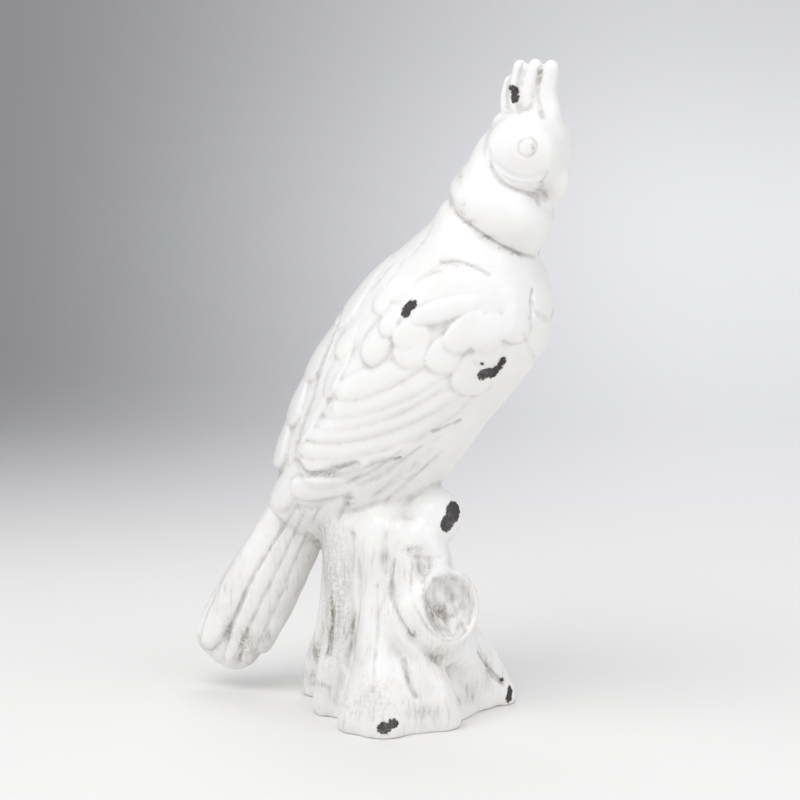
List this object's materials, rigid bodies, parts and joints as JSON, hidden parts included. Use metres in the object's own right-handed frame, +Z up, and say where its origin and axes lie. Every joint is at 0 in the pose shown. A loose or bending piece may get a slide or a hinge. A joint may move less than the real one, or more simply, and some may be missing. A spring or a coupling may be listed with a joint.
{
  "type": "ceramic bird figurine",
  "caption": "White glazed ceramic cockatoo perched on a tree stump, with folded wings, raised crest and long tail; it stands on the stump's flat base.",
  "frame": {"origin": "centre of the bounding box at floor level, on the plane of the stump's flat base", "axes": "+Z up from the base, +X the way the bird's beak points, +Y towards the bird's left wing"},
  "size_m": [0.2054, 0.1134, 0.3423],
  "materials": {
    "white_glaze": "semi-gloss white glaze with grey-brown wash in the creases and small dark chips"
  },
  "bodies": {
    "root": {"cockatoo_figurine": "white_glaze"}
  },
  "joints": []
}
